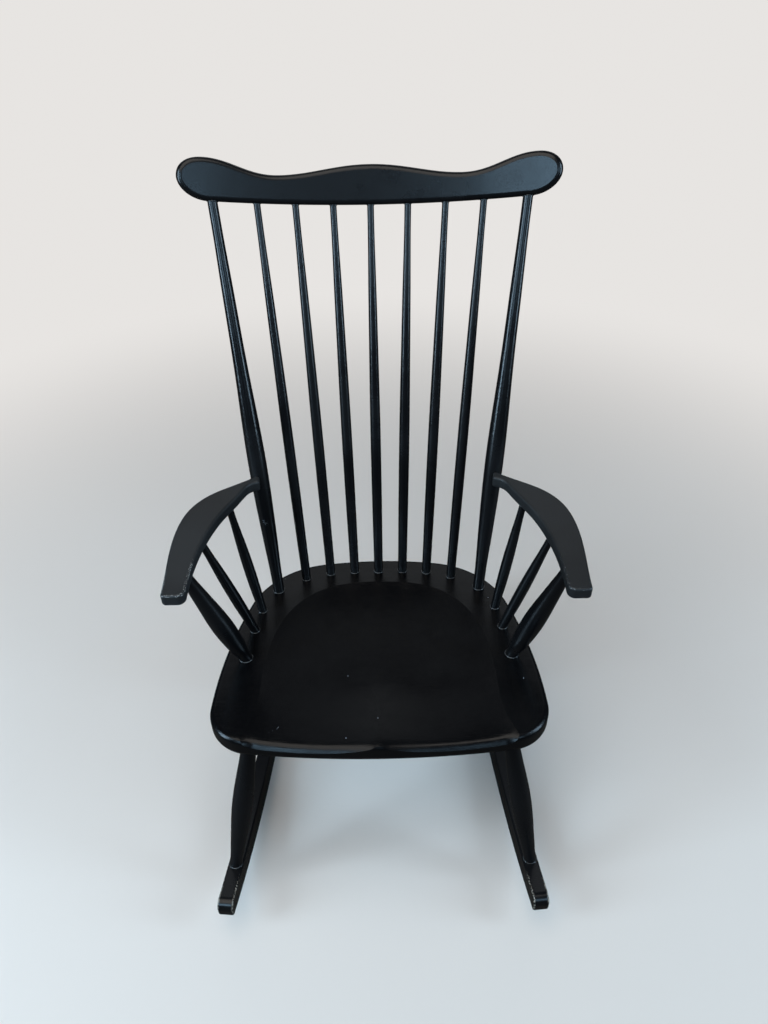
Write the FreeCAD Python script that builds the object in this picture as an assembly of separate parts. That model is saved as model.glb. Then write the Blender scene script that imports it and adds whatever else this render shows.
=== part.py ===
"""Boston rocking chair: saddle seat, nine-stick back, curved crest, flat arms and two rockers.

Millimetres. +Z up, the chair faces -Y, +X is the viewer's right when looking along +Y,
origin under the middle of the bounding box on the floor. "left" is -X, "right" is +X.
Every round member ends in a plain round tenon glued in a blind bored socket.
"""
import FreeCAD
import Part
import math
import os

# Glue joints
GLUE_GAP = 0.05            # radial clearance of every tenon in its socket
END_GAP = 1.0              # space left under the end of every tenon
TENON_CHAMFER = 1.0        # lead-in on the end of every tenon
BORE_RUNOUT = 14.0         # how far a bore is cut past the surface it enters
LAND = 0.03                # plain cylinder next to each tenon, share of the visible length

# Seat blank, measured in its own plane
SEAT_THICK = 38.0
SEAT_TILT = 3.0            # degrees, rear edge lower
SEAT_FRONT_Y = -298.0
SEAT_FRONT_Z = 417.2       # top of the blank at the front edge
SEAT_REAR_Y = 141.5
SEAT_FRONT_CORNER = (270.5, -277.0)
SEAT_SIDE_MIDDLE = (262.5, -89.0)
SEAT_REAR_CORNER = (203.0, 111.0)
SEAT_SHOULDER_R = 158.0
SEAT_CORNER_R = 70.0
SEAT_TOP_ROUND = 9.0
SEAT_BOTTOM_ROUND = 13.0

# Saddle hollow in the seat
SADDLE_DEPTH = 14.0
SADDLE_HALF_WIDTH = 196.0
SADDLE_WAIST_Y = -190.0    # where the hollow stops narrowing towards the front
SADDLE_REAR_Y = 76.0
SADDLE_POWER = 2.7         # squareness of the rear of the hollow
SADDLE_FALLOFF = 38.0      # distance over which the sides run down
SADDLE_FLARE = 0.0028      # widening towards the front edge
SADDLE_FRONT_SHARE = 0.68  # share of the depth left at the front edge
SADDLE_FRONT_FADE = 130.0
FRONT_ROLL_LENGTH = 12.0
FRONT_ROLL_DROP = 8.5
FRONT_ROLL_FADE = 18.0
POMMEL_HEIGHT = 9.0
POMMEL_START_Y = -135.0
POMMEL_HALF_WIDTH = 20.0
POMMEL_FLARE = 24.0
POMMEL_POWER = 1.2         # 2 is a round ridge, 1 a sharp one
POMMEL_ROLL_SHARE = 0.25   # share of the front roll left on the pommel
SADDLE_STEP_X = 11.0       # spacing of the points that set the hollow's surface
SADDLE_STEP_Y = 12.0
FRONT_ROLL_STEP_Y = 3.0
SADDLE_MARGIN = 30.0
SADDLE_FIT = 0.01          # closeness at which the hollow is cut from the blank

# Back posts
POST_FOOT_X = 188.6
POST_FOOT_Y = 58.0
POST_HEAD_Y = 258.0
POST_HEAD_Z = 1052.0
POST_HEAD_INSET = 48.1      # from the end of the crest rail
POST_FOOT_DIA = 20.5
POST_SWELL_DIA = 32.0
POST_NECK_DIA = 19.0
POST_HEAD_DIA = 15.5
POST_SEAT_TENON = 26.0
POST_CREST_TENON = 34.0

# Seven spindles between the back posts
SPINDLE_COUNT = 7
SPINDLE_FOOT_STEP = 46.2
SPINDLE_HEAD_GAP = 66.3     # between the last spindle and the post at the crest rail
SPINDLE_FOOT_Y = 109.0     # of the middle one
SPINDLE_ROW_POWER = 3.2    # squareness of the bowed row of feet
SPINDLE_FOOT_DIA = 17.0
SPINDLE_SWELL_DIA = 18.6
SPINDLE_HEAD_DIA = 10.6
SPINDLE_SEAT_TENON = 24.0
SPINDLE_CREST_TENON = 28.0

# Crest rail, measured in its leaning face
CREST_LEAN = 18.0          # degrees back from upright
CREST_BASE_Y = 285.0
CREST_BASE_Z = 1033.0
CREST_BEND_R = 957.0       # of the middle of the board in plan
CREST_THICK = 23.0
CREST_HALF_WIDTH = 292.0
CREST_CENTRE_HEIGHT = 59.0
CREST_CENTRE_EASE = 56.0   # length over which each crown or dip stays level
CREST_DIP_PLACE = 0.486     # share of the half width
CREST_DIP_HEIGHT = 45.0
CREST_DIP_EASE = 50.0
CREST_EAR_INSET = 34.0      # from the end of the rail
CREST_EAR_HEIGHT = 72.0
CREST_EAR_EASE = 44.0
CREST_EAR_ROUND = 20.0
CREST_TIP_HEIGHT = 45.0    # where the end is widest
CREST_TIP_EASE = 16.0
CREST_CHIN_INSET = 44.0     # from the end to where the underside turns up into the ear
CREST_CHIN_EASE = 26.0
CREST_POST_RISE = 9.0
CREST_ROUND = 8.0
CREST_MARGIN = 60.0

# Arms
ARM_THICK = 21.0
ARM_REAR_Y = 95.0
ARM_REAR_Z = 630.0         # top face at ARM_REAR_Y
ARM_TILT = 1.9             # degrees, rear end lower
ARM_OUTER = ((315.5, -186.0), (319.7, -122.0), (321.0, -22.5), (311.0, 19.5), (287.5, 55.5),
             (251.5, 83.5), (206.0, 117.0))
ARM_INNER = ((202.5, 93.5), (218.5, 86.5), (231.0, 63.0), (256.0, 6.5), (271.0, -45.5),
             (279.0, -98.0), (281.0, -141.0), (279.5, -186.0))
ARM_FRONT_OUTER_R = 7.0
ARM_FRONT_INNER_R = 12.0
ARM_REAR_R = 5.0
ARM_ROUND = 4.5

# Turned post under the front of each arm
ARM_POST_FOOT = (228.0, -112.0)
ARM_POST_HEAD = (293.3, -122.6)
ARM_POST_FOOT_DIA = 21.0
ARM_POST_SWELL_DIA = 35.0
ARM_POST_HEAD_DIA = 20.0
ARM_POST_SEAT_TENON = 24.0
ARM_POST_ARM_TENON = 14.0

# Two thin spindles under each arm
ARM_STICK_FRONT_FOOT = (220.5, -46.5)
ARM_STICK_FRONT_HEAD = (280.5, -47.2)
ARM_STICK_REAR_FOOT = (213.0, 3.5)
ARM_STICK_REAR_HEAD = (249.3, 41.8)
ARM_STICK_FOOT_DIA = 15.5
ARM_STICK_SWELL_DIA = 19.0
ARM_STICK_HEAD_DIA = 12.2
ARM_STICK_SEAT_TENON = 22.0
ARM_STICK_ARM_TENON = 13.0

# Dowel from the end of each arm into its back post
DOWEL_AIM = (210.5, 98.0)  # plan point of the arm that the dowel is aimed at
DOWEL_DIA = 7.0
DOWEL_IN_POST = 11.0
DOWEL_IN_ARM = 12.0

# Rockers
ROCKER_BOTTOM_R = 1100.0
ROCKER_TOP_R = 1500.0
ROCKER_THICK = 27.5
ROCKER_MIDDLE_HEIGHT = 52.0
ROCKER_LOW_Y = -26.0       # point that touches the floor
ROCKER_FRONT_Y = -396.0
ROCKER_REAR_Y = 396.0
ROCKER_LOW_X = 238.6       # middle of the rocker at ROCKER_LOW_Y
ROCKER_TOE_OUT = 5.0       # degrees, front ends further apart
ROCKER_NOSE_R = 15.0
ROCKER_TOE_R = 6.0
ROCKER_TAIL_R = 8.0
ROCKER_EDGE_R = 3.5

# Legs
FRONT_LEG_HEAD = (209.5, -232.0)
FRONT_LEG_FOOT_Y = -311.0
REAR_LEG_HEAD = (154.0, 0.0)
REAR_LEG_FOOT_Y = 114.0
LEG_HEAD_DIA = 24.0
LEG_SWELL_DIA = 36.0
LEG_FOOT_DIA = 22.0
LEG_SEAT_TENON = 16.0
LEG_FOOT_TENON_DIA = 15.0
LEG_FOOT_TENON = 22.0
LEG_FOOT_OVERRUN = 12.0

# Sizes that follow from the crest rail's width
POST_HEAD_X = CREST_HALF_WIDTH - POST_HEAD_INSET
SPINDLE_HEAD_STEP = (POST_HEAD_X - SPINDLE_HEAD_GAP) / (SPINDLE_COUNT - 1) * 2
CREST_DIP_X = CREST_HALF_WIDTH * CREST_DIP_PLACE
CREST_EAR_X = CREST_HALF_WIDTH - CREST_EAR_INSET
CREST_CHIN_X = CREST_HALF_WIDTH - CREST_CHIN_INSET

UP = FreeCAD.Vector(0, 0, 1)
ORIGIN = FreeCAD.Vector(0, 0, 0)
SIDES = (("left", -1), ("right", 1))


def vec(x, y, z=0.0):
    """Shorthand for a vector."""
    return FreeCAD.Vector(x, y, z)


def mirrored(point, side):
    """A plan point (x, y) moved to the wanted side of the chair."""
    return (point[0] * side, point[1])


def seat_placement():
    """Placement that carries the seat's own plane to the chair."""
    turn = FreeCAD.Rotation(vec(1, 0, 0), -SEAT_TILT)
    pivot = vec(0, SEAT_FRONT_Y, SEAT_FRONT_Z)
    return FreeCAD.Placement(pivot - turn.multVec(vec(0, SEAT_FRONT_Y)), turn)


def on_seat(point, depth=0.0):
    """Point of the seat blank's top plane above the plan point, or depth below it."""
    slope = math.tan(math.radians(SEAT_TILT))
    drop = depth / math.cos(math.radians(SEAT_TILT))
    return vec(point[0], point[1], SEAT_FRONT_Z - (point[1] - SEAT_FRONT_Y) * slope - drop)


def on_arm(point, depth=0.0):
    """Point of the arm's top plane above the plan point, or depth below it."""
    slope = math.tan(math.radians(ARM_TILT))
    drop = depth / math.cos(math.radians(ARM_TILT))
    return vec(point[0], point[1], ARM_REAR_Z - (point[1] - ARM_REAR_Y) * slope - drop)


def arc_sagitta(radius, half_chord):
    """Rise of an arc over half its chord."""
    return radius - math.sqrt(radius * radius - half_chord * half_chord)


def aimed(shape, foot, head):
    """A shape built along +Z from the origin, moved to start at foot and point at head."""
    shape.Placement = FreeCAD.Placement(foot, FreeCAD.Rotation(UP, head - foot))
    return shape


def tenon_profile(start, chamfer, radius):
    """Points of a tenon's outline from its end at start, chamfer being the signed way inwards."""
    return [vec(0, 0, start), vec(radius - TENON_CHAMFER, 0, start), vec(radius, 0, start + chamfer)]


def turned(foot, head, sizes, foot_tenon, head_tenon, extra=0.0):
    """Turned member from foot to head with a tenon past each end.

    sizes holds (share of the length, diameter) pairs, first and last at the two tenons;
    extra grows the diameter everywhere.
    """
    length = (head - foot).Length
    curve_points = [vec((dia + extra) / 2, 0, share * length) for share, dia in sizes]
    low = tenon_profile(-foot_tenon, TENON_CHAMFER, curve_points[0].x)
    high = tenon_profile(length + head_tenon, -TENON_CHAMFER, curve_points[-1].x)
    curve_points[0].z = LAND * length
    curve_points[-1].z = (1 - LAND) * length
    curve = Part.BSplineCurve()
    curve.interpolate(Points=curve_points, InitialTangent=UP, FinalTangent=UP)
    edges = [Part.makeLine(a, b) for a, b in zip(low, low[1:])]
    edges.append(Part.makeLine(low[-1], curve_points[0]))
    edges.append(curve.toShape())
    edges.append(Part.makeLine(curve_points[-1], high[-1]))
    edges += [Part.makeLine(b, a) for a, b in zip(high[::-1][1:], high[::-1])]
    edges.append(Part.makeLine(high[0], low[0]))
    face = Part.Face(Part.Wire(Part.__sortEdges__(edges)))
    return aimed(face.revolve(ORIGIN, UP, 360), foot, head)


def bore(surface_point, inward_point, diameter, depth):
    """Cutter for a blind round socket that starts at surface_point."""
    radius = diameter / 2 + GLUE_GAP
    tool = Part.makeCylinder(radius, depth + END_GAP + BORE_RUNOUT, vec(0, 0, -BORE_RUNOUT))
    return aimed(tool, surface_point, inward_point)


# Seat

def seat_outline():
    """Closed outline of the seat blank before its corners are rounded."""
    cx, cy = SEAT_FRONT_CORNER
    mx, my = SEAT_SIDE_MIDDLE
    rx, ry = SEAT_REAR_CORNER
    front = Part.Arc(vec(-cx, cy), vec(0, SEAT_FRONT_Y), vec(cx, cy))
    right = Part.Arc(vec(cx, cy), vec(mx, my), vec(rx, ry))
    rear = Part.Arc(vec(rx, ry), vec(0, SEAT_REAR_Y), vec(-rx, ry))
    left = Part.Arc(vec(-rx, ry), vec(-mx, my), vec(-cx, cy))
    return Part.Wire([arc.toShape() for arc in (front, right, rear, left)])


def upright_edges(shape, in_front):
    """Vertical edges of a blank, either in front of the middle of the seat or behind it."""
    found = []
    for edge in shape.Edges:
        box = edge.BoundBox
        if box.ZLength > SEAT_THICK / 2 and (box.YMax < SEAT_SIDE_MIDDLE[1]) == in_front:
            found.append(edge)
    return found


def seat_blank():
    """Seat board with rounded corners and softened top and bottom edges."""
    board = Part.Face(seat_outline()).extrude(vec(0, 0, -SEAT_THICK))
    board = board.makeFillet(SEAT_CORNER_R, upright_edges(board, True))
    board = board.makeFillet(SEAT_SHOULDER_R, upright_edges(board, False))
    top = [e for e in board.Edges if e.BoundBox.ZMin > -0.01]
    board = board.makeFillet(SEAT_TOP_ROUND, top)
    bottom = [e for e in board.Edges if e.BoundBox.ZMax < 0.01 - SEAT_THICK]
    return board.makeFillet(SEAT_BOTTOM_ROUND, bottom)


def saddle_inset(x, y):
    """Distance inside the edge line of the hollow, negative outside it."""
    if y < SADDLE_WAIST_Y:
        half = SADDLE_HALF_WIDTH + SADDLE_FLARE * (SADDLE_WAIST_Y - y) ** 2
        return half - abs(x)
    across = (abs(x) / SADDLE_HALF_WIDTH) ** SADDLE_POWER
    along = ((y - SADDLE_WAIST_Y) / (SADDLE_REAR_Y - SADDLE_WAIST_Y)) ** SADDLE_POWER
    return SADDLE_HALF_WIDTH * (1 - (across + along) ** (1 / SADDLE_POWER))


def fade(value):
    """Smooth step from 0 to 1 as value goes from 0 to 1."""
    value = min(1.0, max(0.0, value))
    return value * value * (3 - 2 * value)


def seat_front_line(x):
    """Y of the seat's bowed front edge."""
    cx, cy = SEAT_FRONT_CORNER
    return SEAT_FRONT_Y + (cy - SEAT_FRONT_Y) * (x / cx) ** 2


def saddle_height(x, y):
    """Height of the hollow's surface over the top plane of the blank."""
    inset = saddle_inset(x, y)
    steepness = SADDLE_DEPTH / SADDLE_FALLOFF
    if inset <= 0:
        return -inset * steepness
    front_fade = fade((y - SEAT_FRONT_Y) / SADDLE_FRONT_FADE)
    share = SADDLE_FRONT_SHARE + (1 - SADDLE_FRONT_SHARE) * front_fade
    height = -SADDLE_DEPTH * share * (1 - math.exp(-inset / SADDLE_FALLOFF))
    forward = (POMMEL_START_Y - y) / (POMMEL_START_Y - SEAT_FRONT_Y)
    ridge_width = POMMEL_HALF_WIDTH + POMMEL_FLARE * min(1.0, max(0.0, forward))
    ridge = fade(forward) * math.exp(-((abs(x) / ridge_width) ** POMMEL_POWER))
    height += POMMEL_HEIGHT * ridge
    to_front = y - seat_front_line(x)
    if to_front < FRONT_ROLL_LENGTH:
        roll = FRONT_ROLL_DROP * (1 - to_front / FRONT_ROLL_LENGTH) ** 2
        roll *= 1 - (1 - POMMEL_ROLL_SHARE) * ridge
        height -= roll * fade(inset / FRONT_ROLL_FADE)
    return height


def steps(start, end, size):
    """Evenly spaced values from start to end, both included."""
    count = max(1, round((end - start) / size))
    return [start + (end - start) * i / count for i in range(count + 1)]


def saddle_point(x, y):
    """Point of the hollow's surface, its rows bowed like the front edge where they are near it."""
    bow = seat_front_line(x) - SEAT_FRONT_Y
    y += bow * (1 - fade((y - SEAT_FRONT_Y) / SADDLE_FRONT_FADE))
    return vec(x, y, saddle_height(x, y))


def saddle_cutter():
    """Solid above the hollow's surface."""
    half = SADDLE_HALF_WIDTH + SADDLE_MARGIN * 2
    right = steps(0, half, SADDLE_STEP_X)
    xs = [-x for x in right[:0:-1]] + right
    roll_end = SEAT_FRONT_Y + FRONT_ROLL_LENGTH
    outside = steps(SEAT_FRONT_Y - SADDLE_MARGIN / 2, SEAT_FRONT_Y, SADDLE_MARGIN / 4)
    roll = steps(SEAT_FRONT_Y, roll_end, FRONT_ROLL_STEP_Y)
    inside = steps(roll_end, SADDLE_REAR_Y + SADDLE_MARGIN, SADDLE_STEP_Y)
    ys = outside + roll[1:] + inside[1:]
    grid = [[saddle_point(x, y) for y in ys] for x in xs]
    surface = Part.BSplineSurface()
    surface.interpolate(grid)
    return surface.toShape().extrude(vec(0, 0, SEAT_THICK * 2))


def seat_sockets():
    """Every bore in the seat, in the chair's frame."""
    tools = []
    for side in (-1, 1):
        tools.append(bore(post_foot(side), post_foot(side) * 2 - post_head(side), POST_FOOT_DIA,
                          POST_SEAT_TENON))
        for foot, head, dia, tenon in arm_supports(side):
            tools.append(bore(foot, foot * 2 - head, dia, tenon))
        for head_point, foot_y in LEG_ENDS:
            head = leg_head(head_point, side)
            foot = leg_foot(foot_y, side)
            tools.append(bore(head, head * 2 - foot, LEG_HEAD_DIA, LEG_SEAT_TENON))
    for index in range(SPINDLE_COUNT):
        foot, head = spindle_ends(index)
        tools.append(bore(foot, foot * 2 - head, SPINDLE_FOOT_DIA, SPINDLE_SEAT_TENON))
    return tools


def make_seat():
    """Saddle seat with all its sockets."""
    board = seat_blank().cut([saddle_cutter()], SADDLE_FIT)
    board.Placement = seat_placement()
    return board.cut(seat_sockets())


# Back

def post_foot(side):
    """Where the middle line of a back post enters the seat."""
    return on_seat((POST_FOOT_X * side, POST_FOOT_Y))


def post_head(side):
    """Where the middle line of a back post enters the crest rail."""
    return vec(POST_HEAD_X * side, POST_HEAD_Y, POST_HEAD_Z)


POST_SIZES = ((0.0, POST_FOOT_DIA), (0.12, 24.0), (0.22, 28.6), (0.36, POST_SWELL_DIA),
              (0.46, 30.0), (0.58, 24.6), (0.68, 21.2), (0.80, POST_NECK_DIA), (1.0, POST_HEAD_DIA))


def make_post(side, extra=0.0):
    """Back post, grown by extra on its diameter."""
    return turned(post_foot(side), post_head(side), POST_SIZES, POST_SEAT_TENON, POST_CREST_TENON, extra)


def spindle_ends(index):
    """Seat and crest ends of one of the seven spindles, counted from the left."""
    place = index - (SPINDLE_COUNT - 1) / 2
    foot_x = place * SPINDLE_FOOT_STEP
    bow = (SPINDLE_FOOT_Y - POST_FOOT_Y) * abs(foot_x / POST_FOOT_X) ** SPINDLE_ROW_POWER
    foot = on_seat((foot_x, SPINDLE_FOOT_Y - bow))
    head_x = place * SPINDLE_HEAD_STEP
    return foot, crest_point(head_x, crest_underside(head_x))


SPINDLE_SIZES = ((0.0, SPINDLE_FOOT_DIA), (0.14, 17.8), (0.34, SPINDLE_SWELL_DIA), (0.50, 17.8),
                 (0.66, 15.6), (0.82, 13.2), (1.0, SPINDLE_HEAD_DIA))


def make_spindle(index):
    """Plain tapering spindle of the back."""
    foot, head = spindle_ends(index)
    return turned(foot, head, SPINDLE_SIZES, SPINDLE_SEAT_TENON, SPINDLE_CREST_TENON)


def crest_placement():
    """Placement that carries the upright crest board to its leaning position."""
    turn = FreeCAD.Rotation(vec(1, 0, 0), -CREST_LEAN)
    return FreeCAD.Placement(vec(0, CREST_BASE_Y, CREST_BASE_Z), turn)


def crest_underside(x):
    """Height of the crest's lower edge over its middle."""
    return CREST_POST_RISE * (x / POST_HEAD_X) ** 2


def crest_point(x, height):
    """Point of the middle of the board, given its place in the leaning face."""
    return crest_placement().multVec(vec(x, -arc_sagitta(CREST_BEND_R, abs(x)), height))


def crest_curves(side):
    """Poles of the curves of one half of the crest's front view, from the crown down to the middle."""
    dip = CREST_DIP_HEIGHT
    ear = CREST_EAR_HEIGHT
    tip = CREST_TIP_HEIGHT
    chin = crest_underside(CREST_CHIN_X)
    chin_slope = 2 * chin / CREST_CHIN_X
    poles = [
        [(0, CREST_CENTRE_HEIGHT), (CREST_CENTRE_EASE, CREST_CENTRE_HEIGHT),
         (CREST_DIP_X - CREST_DIP_EASE, dip), (CREST_DIP_X, dip)],
        [(CREST_DIP_X, dip), (CREST_DIP_X + CREST_DIP_EASE, dip), (CREST_EAR_X - CREST_EAR_EASE, ear),
         (CREST_EAR_X, ear)],
        [(CREST_EAR_X, ear), (CREST_EAR_X + CREST_EAR_ROUND, ear), (CREST_HALF_WIDTH, tip + CREST_TIP_EASE),
         (CREST_HALF_WIDTH, tip)],
        [(CREST_HALF_WIDTH, tip), (CREST_HALF_WIDTH, tip - CREST_TIP_EASE),
         (CREST_CHIN_X + CREST_CHIN_EASE, chin + CREST_CHIN_EASE * chin_slope), (CREST_CHIN_X, chin)],
        [(CREST_CHIN_X, chin), (CREST_CHIN_X / 2, 0), (0, 0)],
    ]
    return [[vec(x * side, 0, z) for x, z in row] for row in poles]


def crest_outline():
    """Front view of the crest: raised middle, two dips and two rounded ears."""
    left = [row[::-1] for row in crest_curves(-1)][::-1]
    edges = []
    for poles in crest_curves(1) + left:
        curve = Part.BezierCurve()
        curve.setPoles(poles)
        edges.append(curve.toShape())
    return Part.Wire(edges)


def crest_band():
    """Curved band, the crest's plan extruded upwards."""
    outer = Part.makeCylinder(CREST_BEND_R + CREST_THICK / 2, CREST_MARGIN * 2)
    inner = Part.makeCylinder(CREST_BEND_R - CREST_THICK / 2, CREST_MARGIN * 2)
    band = outer.cut(inner)
    band.translate(vec(0, -CREST_BEND_R, -CREST_MARGIN / 2))
    return band


def crest_board():
    """Upright crest board, bent in plan and rounded on both faces."""
    reach = CREST_MARGIN * 2
    panel = Part.Face(crest_outline()).extrude(vec(0, reach, 0))
    panel.translate(vec(0, CREST_THICK - reach, 0))
    board = panel.common(crest_band())
    rims = []
    for edge in board.Edges:
        middle = edge.valueAt((edge.FirstParameter + edge.LastParameter) / 2)
        depth = math.hypot(middle.x, middle.y + CREST_BEND_R) - CREST_BEND_R
        if abs(abs(depth) - CREST_THICK / 2) < 0.01:
            rims.append(edge)
    return board.makeFillet(CREST_ROUND, rims)


def make_crest():
    """Crest rail with its nine sockets."""
    board = crest_board()
    board.Placement = crest_placement()
    tools = []
    for side in (-1, 1):
        head = post_head(side)
        tools.append(bore(head, head * 2 - post_foot(side), POST_HEAD_DIA, POST_CREST_TENON))
    for index in range(SPINDLE_COUNT):
        foot, head = spindle_ends(index)
        tools.append(bore(head, head * 2 - foot, SPINDLE_HEAD_DIA, SPINDLE_CREST_TENON))
    return board.cut(tools)


# Arms

def arm_supports(side):
    """Foot, head, foot diameter and seat tenon of the three members under an arm."""
    post = (on_seat(mirrored(ARM_POST_FOOT, side)), on_arm(mirrored(ARM_POST_HEAD, side), ARM_THICK),
            ARM_POST_FOOT_DIA, ARM_POST_SEAT_TENON)
    front = (on_seat(mirrored(ARM_STICK_FRONT_FOOT, side)),
             on_arm(mirrored(ARM_STICK_FRONT_HEAD, side), ARM_THICK), ARM_STICK_FOOT_DIA, ARM_STICK_SEAT_TENON)
    rear = (on_seat(mirrored(ARM_STICK_REAR_FOOT, side)),
            on_arm(mirrored(ARM_STICK_REAR_HEAD, side), ARM_THICK), ARM_STICK_FOOT_DIA, ARM_STICK_SEAT_TENON)
    return (post, front, rear)


ARM_POST_SIZES = ((0.0, ARM_POST_FOOT_DIA), (0.11, 26.0), (0.23, 32.0), (0.38, ARM_POST_SWELL_DIA),
                  (0.52, 33.4), (0.68, 28.4), (0.84, 23.2), (1.0, ARM_POST_HEAD_DIA))
ARM_STICK_SIZES = ((0.0, ARM_STICK_FOOT_DIA), (0.18, 17.6), (0.37, ARM_STICK_SWELL_DIA), (0.55, 18.2),
                   (0.75, 15.2), (1.0, ARM_STICK_HEAD_DIA))


def make_arm_post(side):
    """Stout turned post under the front of an arm."""
    foot, head = arm_supports(side)[0][:2]
    return turned(foot, head, ARM_POST_SIZES, ARM_POST_SEAT_TENON, ARM_POST_ARM_TENON)


def make_arm_stick(side, place):
    """Thin spindle under an arm, place 1 in front and 2 behind."""
    foot, head = arm_supports(side)[place][:2]
    return turned(foot, head, ARM_STICK_SIZES, ARM_STICK_SEAT_TENON, ARM_STICK_ARM_TENON)


def post_at_height(side, height):
    """Point of a back post's middle line at a height."""
    foot = post_foot(side)
    head = post_head(side)
    return foot + (head - foot) * ((height - foot.z) / (head.z - foot.z))


def dowel_ends(side):
    """Ends of the dowel that joins an arm to its back post, the post end first."""
    middle = post_at_height(side, ARM_REAR_Z - ARM_THICK / 2)
    aim = mirrored(DOWEL_AIM, side)
    outward = vec(aim[0] - middle.x, aim[1] - middle.y)
    outward.normalize()
    face = middle + outward * (POST_SWELL_DIA / 2)
    return face - outward * DOWEL_IN_POST, face + outward * DOWEL_IN_ARM


def make_dowel(side):
    """Hidden dowel between arm and back post."""
    start, end = dowel_ends(side)
    length = (end - start).Length
    rod = Part.makeCylinder(DOWEL_DIA / 2, length)
    rims = [e for e in rod.Edges if len(e.Vertexes) == 1]
    return aimed(rod.makeChamfer(TENON_CHAMFER, rims), start, end)


def dowel_bore(side):
    """Cutter for both halves of the dowel's hole."""
    start, end = dowel_ends(side)
    along = end - start
    along.normalize()
    length = (end - start).Length + END_GAP * 2
    tool = Part.makeCylinder(DOWEL_DIA / 2 + GLUE_GAP, length)
    return aimed(tool, start - along * END_GAP, end)


def arm_outline(side):
    """Plan outline of an arm."""
    outer = Part.BSplineCurve()
    outer.interpolate(Points=[vec(x * side, y) for x, y in ARM_OUTER])
    inner = Part.BSplineCurve()
    inner.interpolate(Points=[vec(x * side, y) for x, y in ARM_INNER])
    front = Part.makeLine(vec(ARM_INNER[-1][0] * side, ARM_INNER[-1][1]),
                          vec(ARM_OUTER[0][0] * side, ARM_OUTER[0][1]))
    rear = Part.makeLine(vec(ARM_OUTER[-1][0] * side, ARM_OUTER[-1][1]),
                         vec(ARM_INNER[0][0] * side, ARM_INNER[0][1]))
    return Part.Wire([outer.toShape(), rear, inner.toShape(), front])


def nearest_edge(shape, edge):
    """Edge of a shape that lies where an edge of its earlier state was."""
    middle = edge.CenterOfMass
    return min(shape.Edges, key=lambda e: (e.CenterOfMass - middle).Length)


def make_arm(side):
    """Flat arm, coped round its back post and bored for its supports."""
    board = Part.Face(arm_outline(side)).extrude(vec(0, 0, -ARM_THICK))
    uprights = [e for e in board.Edges if e.BoundBox.ZLength > ARM_THICK / 2]
    uprights.sort(key=lambda e: e.BoundBox.YMin)
    inner_front, outer_front = sorted(uprights[:2], key=lambda e: abs(e.BoundBox.XMin))
    board = board.makeFillet(ARM_FRONT_INNER_R, [inner_front])
    board = board.makeFillet(ARM_FRONT_OUTER_R, [nearest_edge(board, outer_front)])
    rear = [nearest_edge(board, edge) for edge in uprights[2:]]
    board = board.makeFillet(ARM_REAR_R, rear)
    rims = [e for e in board.Edges if e.BoundBox.ZLength < 0.01]
    board = board.makeFillet(ARM_ROUND, rims)
    turn = FreeCAD.Rotation(vec(1, 0, 0), -ARM_TILT)
    pivot = vec(0, ARM_REAR_Y, ARM_REAR_Z)
    board.Placement = FreeCAD.Placement(pivot - turn.multVec(vec(0, ARM_REAR_Y)), turn)
    post, front, rear = arm_supports(side)
    tools = [make_post(side, GLUE_GAP * 2), dowel_bore(side)]
    tools.append(bore(post[1], post[1] * 2 - post[0], ARM_POST_HEAD_DIA, ARM_POST_ARM_TENON))
    tools.append(bore(front[1], front[1] * 2 - front[0], ARM_STICK_HEAD_DIA, ARM_STICK_ARM_TENON))
    tools.append(bore(rear[1], rear[1] * 2 - rear[0], ARM_STICK_HEAD_DIA, ARM_STICK_ARM_TENON))
    return board.cut(tools)


# Rockers and legs

def rocker_point(along, height, side):
    """Point over a rocker's middle line, along being measured back from its low point."""
    toe = math.radians(ROCKER_TOE_OUT)
    return vec(side * (ROCKER_LOW_X - along * math.sin(toe)), ROCKER_LOW_Y + along * math.cos(toe), height)


def rocker_along(y):
    """Distance along a rocker, back from its low point, at a Y of the chair."""
    return (y - ROCKER_LOW_Y) / math.cos(math.radians(ROCKER_TOE_OUT))


def rocker_top(along):
    """Height of a rocker's top edge."""
    return ROCKER_MIDDLE_HEIGHT + arc_sagitta(ROCKER_TOP_R, abs(along))


def rocker_side_view(across):
    """Side view of a rocker, X along its length and Z up, drawn at Y = across."""
    half_thick = ROCKER_THICK / 2 * math.sin(math.radians(ROCKER_TOE_OUT))
    front = rocker_along(ROCKER_FRONT_Y + half_thick)
    rear = rocker_along(ROCKER_REAR_Y - half_thick)
    low = [vec(x, across, arc_sagitta(ROCKER_BOTTOM_R, abs(x))) for x in (front, 0, rear)]
    top = [vec(x, across, rocker_top(x)) for x in (rear, 0, front)]
    edges = [Part.Arc(*low).toShape(), Part.makeLine(low[-1], top[0]), Part.Arc(*top).toShape(),
             Part.makeLine(top[-1], low[0])]
    return Part.Wire(edges)


def rocker_placement(side):
    """Placement of a rocker built along +X at the origin."""
    toe = side * ROCKER_TOE_OUT
    return FreeCAD.Placement(vec(side * ROCKER_LOW_X, ROCKER_LOW_Y, 0), FreeCAD.Rotation(UP, 90 + toe))


def rocker_blank(thick):
    """Rocker board standing on edge, centred on its own middle plane."""
    return Part.Face(rocker_side_view(-thick / 2)).extrude(vec(0, thick, 0))


def cross_edges(shape, thick):
    """Straight edges that run across the thickness of a rocker board."""
    return [e for e in shape.Edges if e.BoundBox.YLength > thick / 2]


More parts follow.
